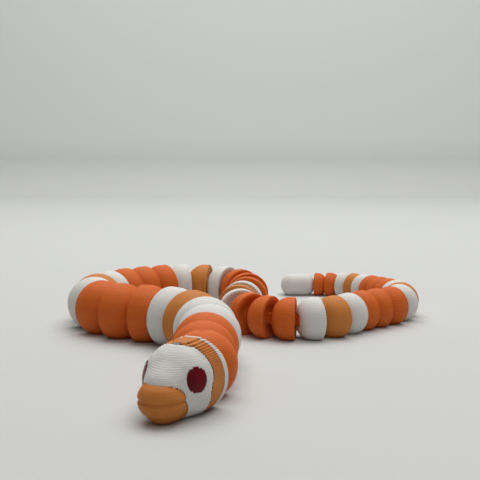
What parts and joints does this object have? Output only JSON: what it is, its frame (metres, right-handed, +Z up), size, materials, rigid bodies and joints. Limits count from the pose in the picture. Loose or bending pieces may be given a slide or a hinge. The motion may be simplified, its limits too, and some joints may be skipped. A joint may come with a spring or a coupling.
{
  "type": "articulated snake toy",
  "caption": "Flexible toy snake made of captive bead rings with upright hinge pins, a rounded head with oval eyes, and a round tail tip.",
  "frame": {"origin": "middle of the resting layout's bounding box, on the table", "axes": "+Z up from the table; the snout points towards -Y and a little to -X; the tail tip lies at +Y"},
  "size_m": [0.1166, 0.1659, 0.0168],
  "materials": {
    "white_plastic": "satin printed plastic with fine layer lines",
    "orange_plastic": "satin printed plastic with fine layer lines",
    "tan_plastic": "satin printed plastic with fine layer lines",
    "crimson_plastic": "satin printed plastic with fine layer lines"
  },
  "bodies": {
    "head": {"snout": "tan_plastic", "face_shell": "white_plastic", "eye_left": "crimson_plastic", "eye_right": "crimson_plastic", "nape_band": "tan_plastic", "nape_rim": "white_plastic"},
    "ring_01": {"ring_01": "orange_plastic"},
    "ring_02": {"ring_02": "orange_plastic"},
    "ring_03": {"ring_03": "orange_plastic"},
    "ring_04": {"ring_04": "white_plastic"},
    "ring_05": {"ring_05": "white_plastic"},
    "ring_06": {"ring_06": "tan_plastic"},
    "ring_07": {"ring_07": "white_plastic"},
    "ring_08": {"ring_08": "orange_plastic"},
    "ring_09": {"ring_09": "orange_plastic"},
    "ring_10": {"ring_10": "orange_plastic"},
    "ring_11": {"ring_11": "white_plastic"},
    "ring_12": {"ring_12": "tan_plastic"},
    "ring_13": {"ring_13": "white_plastic"},
    "ring_14": {"ring_14": "orange_plastic"},
    "ring_15": {"ring_15": "orange_plastic"},
    "ring_16": {"ring_16": "orange_plastic"},
    "ring_17": {"ring_17": "white_plastic"},
    "ring_18": {"ring_18": "tan_plastic"},
    "ring_19": {"ring_19": "white_plastic"},
    "ring_20": {"ring_20": "orange_plastic"},
    "ring_21": {"ring_21": "orange_plastic"},
    "ring_22": {"ring_22": "orange_plastic"},
    "ring_23": {"ring_23": "white_plastic"},
    "ring_24": {"ring_24": "tan_plastic"},
    "ring_25": {"ring_25": "white_plastic"},
    "ring_26": {"ring_26": "orange_plastic"},
    "ring_27": {"ring_27": "orange_plastic"},
    "ring_28": {"ring_28": "orange_plastic"},
    "ring_29": {"ring_29": "white_plastic"},
    "ring_30": {"ring_30": "tan_plastic"},
    "ring_31": {"ring_31": "white_plastic"},
    "ring_32": {"ring_32": "orange_plastic"},
    "ring_33": {"ring_33": "orange_plastic"},
    "ring_34": {"ring_34": "orange_plastic"},
    "ring_35": {"ring_35": "white_plastic"},
    "ring_36": {"ring_36": "tan_plastic"},
    "ring_37": {"ring_37": "white_plastic"},
    "ring_38": {"ring_38": "orange_plastic"},
    "ring_39": {"ring_39": "orange_plastic"},
    "ring_40": {"ring_40": "orange_plastic"},
    "ring_41": {"ring_41": "white_plastic"},
    "ring_42": {"ring_42": "tan_plastic"},
    "ring_43": {"ring_43": "white_plastic"},
    "ring_44": {"ring_44": "orange_plastic"},
    "ring_45": {"ring_45": "orange_plastic"},
    "tail_tip": {"tail_tip": "white_plastic"}
  },
  "joints": [
    {"name": "link_01", "type": "hinge", "parent": "head", "child": "ring_01", "pos_m": [-0.01145, -0.06261, 0.00713], "axis": [0, 0, 1], "range_deg": [-50.5, 1.5]},
    {"name": "link_02", "type": "hinge", "parent": "ring_01", "child": "ring_02", "pos_m": [-0.01114, -0.05371, 0.00726], "axis": [0, 0, 1], "range_deg": [-33.5, 18.5]},
    {"name": "link_03", "type": "hinge", "parent": "ring_02", "child": "ring_03", "pos_m": [-0.01201, -0.04467, 0.00739], "axis": [0, 0, 1], "range_deg": [-14, 38]},
    {"name": "link_04", "type": "hinge", "parent": "ring_03", "child": "ring_04", "pos_m": [-0.01096, -0.03549, 0.00755], "axis": [0, 0, -1], "range_deg": [-20, 32]},
    {"name": "link_05", "type": "hinge", "parent": "ring_04", "child": "ring_05", "pos_m": [-0.01088, -0.02605, 0.00771], "axis": [0, 0, -1], "range_deg": [-10.5, 41.5]},
    {"name": "link_06", "type": "hinge", "parent": "ring_05", "child": "ring_06", "pos_m": [-0.01337, -0.01674, 0.00788], "axis": [0, 0, -1], "range_deg": [-9, 43]},
    {"name": "link_07", "type": "hinge", "parent": "ring_06", "child": "ring_07", "pos_m": [-0.01859, -0.00839, 0.00778], "axis": [0, 0, -1], "range_deg": [-9, 43]},
    {"name": "link_08", "type": "hinge", "parent": "ring_07", "child": "ring_08", "pos_m": [-0.02593, -0.00201, 0.00768], "axis": [0, 0, -1], "range_deg": [-9, 35]},
    {"name": "link_09", "type": "hinge", "parent": "ring_08", "child": "ring_09", "pos_m": [-0.0347, 0.0019, 0.00759], "axis": [0, 0, -1], "range_deg": [-34.5, 17.5]},
    {"name": "link_10", "type": "hinge", "parent": "ring_09", "child": "ring_10", "pos_m": [-0.0427, 0.00699, 0.00749], "axis": [0, 0, 1], "range_deg": [-5.5, 46.5]},
    {"name": "link_11", "type": "hinge", "parent": "ring_10", "child": "ring_11", "pos_m": [-0.04833, 0.01447, 0.00739], "axis": [0, 0, 1], "range_deg": [-3.5, 48.5]},
    {"name": "link_12", "type": "hinge", "parent": "ring_11", "child": "ring_12", "pos_m": [-0.05065, 0.02341, 0.00728], "axis": [0, 0, 1], "range_deg": [-3.5, 48.5]},
    {"name": "link_13", "type": "hinge", "parent": "ring_12", "child": "ring_13", "pos_m": [-0.04938, 0.03243, 0.00717], "axis": [0, 0, 1], "range_deg": [-11, 41]},
    {"name": "link_14", "type": "hinge", "parent": "ring_13", "child": "ring_14", "pos_m": [-0.04588, 0.04068, 0.00706], "axis": [0, 0, 1], "range_deg": [-10, 41]},
    {"name": "link_15", "type": "hinge", "parent": "ring_14", "child": "ring_15", "pos_m": [-0.04044, 0.04764, 0.00695], "axis": [0, 0, 1], "range_deg": [-9, 32]},
    {"name": "link_16", "type": "hinge", "parent": "ring_15", "child": "ring_16", "pos_m": [-0.03441, 0.05389, 0.00684], "axis": [0, 0, -1], "range_deg": [-32, 9]},
    {"name": "link_17", "type": "hinge", "parent": "ring_16", "child": "ring_17", "pos_m": [-0.02785, 0.05938, 0.00673], "axis": [0, 0, -1], "range_deg": [-50.5, 1.5]},
    {"name": "link_18", "type": "hinge", "parent": "ring_17", "child": "ring_18", "pos_m": [-0.01974, 0.06163, 0.00662], "axis": [0, 0, -1], "range_deg": [-50.5, 1.5]},
    {"name": "link_19", "type": "hinge", "parent": "ring_18", "child": "ring_19", "pos_m": [-0.01157, 0.06034, 0.00651], "axis": [0, 0, -1], "range_deg": [-50.5, 1.5]},
    {"name": "link_20", "type": "hinge", "parent": "ring_19", "child": "ring_20", "pos_m": [-0.00478, 0.05585, 0.0064], "axis": [0, 0, -1], "range_deg": [-50.5, 1.5]},
    {"name": "link_21", "type": "hinge", "parent": "ring_20", "child": "ring_21", "pos_m": [-0.00054, 0.04906, 0.00629], "axis": [0, 0, -1], "range_deg": [-50.5, 1.5]},
    {"name": "link_22", "type": "hinge", "parent": "ring_21", "child": "ring_22", "pos_m": [0.00049, 0.04126, 0.00618], "axis": [0, 0, 1], "range_deg": [-8, 44]},
    {"name": "link_23", "type": "hinge", "parent": "ring_22", "child": "ring_23", "pos_m": [-0.00092, 0.03366, 0.00607], "axis": [0, 0, 1], "range_deg": [-23, 29]},
    {"name": "link_24", "type": "hinge", "parent": "ring_23", "child": "ring_24", "pos_m": [-0.00269, 0.02628, 0.00603], "axis": [0, 0, 1], "range_deg": [-31, 18]},
    {"name": "link_25", "type": "hinge", "parent": "ring_24", "child": "ring_25", "pos_m": [-0.00342, 0.01878, 0.00599], "axis": [0, 0, 1], "range_deg": [-38, 8.5]},
    {"name": "link_26", "type": "hinge", "parent": "ring_25", "child": "ring_26", "pos_m": [-0.00186, 0.01146, 0.00595], "axis": [0, 0, 1], "range_deg": [-49.5, 2.5]},
    {"name": "link_27", "type": "hinge", "parent": "ring_26", "child": "ring_27", "pos_m": [0.00246, 0.00541, 0.0059], "axis": [0, 0, 1], "range_deg": [-49.5, 2.5]},
    {"name": "link_28", "type": "hinge", "parent": "ring_27", "child": "ring_28", "pos_m": [0.00878, 0.00161, 0.00586], "axis": [0, 0, -1], "range_deg": [-2.5, 49.5]},
    {"name": "link_29", "type": "hinge", "parent": "ring_28", "child": "ring_29", "pos_m": [0.01605, 0.00065, 0.00582], "axis": [0, 0, -1], "range_deg": [-2.5, 49.5]},
    {"name": "link_30", "type": "hinge", "parent": "ring_29", "child": "ring_30", "pos_m": [0.02304, 0.00266, 0.00578], "axis": [0, 0, -1], "range_deg": [-2.5, 49.5]},
    {"name": "link_31", "type": "hinge", "parent": "ring_30", "child": "ring_31", "pos_m": [0.02861, 0.00725, 0.00574], "axis": [0, 0, -1], "range_deg": [-14.5, 37.5]},
    {"name": "link_32", "type": "hinge", "parent": "ring_31", "child": "ring_32", "pos_m": [0.03312, 0.01282, 0.00569], "axis": [0, 0, -1], "range_deg": [-19, 18.5]},
    {"name": "link_33", "type": "hinge", "parent": "ring_32", "child": "ring_33", "pos_m": [0.03828, 0.01772, 0.00565], "axis": [0, 0, -1], "range_deg": [-19, 18.5]},
    {"name": "link_34", "type": "hinge", "parent": "ring_33", "child": "ring_34", "pos_m": [0.044, 0.02187, 0.00561], "axis": [0, 0, 1], "range_deg": [-35, 17]},
    {"name": "link_35", "type": "hinge", "parent": "ring_34", "child": "ring_35", "pos_m": [0.04896, 0.02683, 0.00551], "axis": [0, 0, 1], "range_deg": [-46, 6]},
    {"name": "link_36", "type": "hinge", "parent": "ring_35", "child": "ring_36", "pos_m": [0.05187, 0.03307, 0.00536], "axis": [0, 0, 1], "range_deg": [-46, 6]},
    {"name": "link_37", "type": "hinge", "parent": "ring_36", "child": "ring_37", "pos_m": [0.05245, 0.03975, 0.00521], "axis": [0, 0, 1], "range_deg": [-40, 12]},
    {"name": "link_38", "type": "hinge", "parent": "ring_37", "child": "ring_38", "pos_m": [0.05143, 0.04617, 0.00505], "axis": [0, 0, 1], "range_deg": [-34, 18]},
    {"name": "link_39", "type": "hinge", "parent": "ring_38", "child": "ring_39", "pos_m": [0.04959, 0.05221, 0.0049], "axis": [0, 0, 1], "range_deg": [-29, 23]},
    {"name": "link_40", "type": "hinge", "parent": "ring_39", "child": "ring_40", "pos_m": [0.04749, 0.05797, 0.00475], "axis": [0, 0, -1], "range_deg": [-23, 29]},
    {"name": "link_41", "type": "hinge", "parent": "ring_40", "child": "ring_41", "pos_m": [0.04518, 0.06343, 0.00459], "axis": [0, 0, -1], "range_deg": [-23, 29]},
    {"name": "link_42", "type": "hinge", "parent": "ring_41", "child": "ring_42", "pos_m": [0.04266, 0.06859, 0.00444], "axis": [0, 0, -1], "range_deg": [-13, 39]},
    {"name": "link_43", "type": "hinge", "parent": "ring_42", "child": "ring_43", "pos_m": [0.03917, 0.0729, 0.00429], "axis": [0, 0, -1], "range_deg": [-9, 43]},
    {"name": "link_44", "type": "hinge", "parent": "ring_43", "child": "ring_44", "pos_m": [0.03472, 0.0759, 0.00413], "axis": [0, 0, -1], "range_deg": [-14, 38]},
    {"name": "link_45", "type": "hinge", "parent": "ring_44", "child": "ring_45", "pos_m": [0.02993, 0.07783, 0.00398], "axis": [0, 0, -1], "range_deg": [-14, 38]},
    {"name": "link_46", "type": "hinge", "parent": "ring_45", "child": "tail_tip", "pos_m": [0.02503, 0.0787, 0.00383], "axis": [0, 0, 1], "range_deg": [-38, 14]}
  ]
}
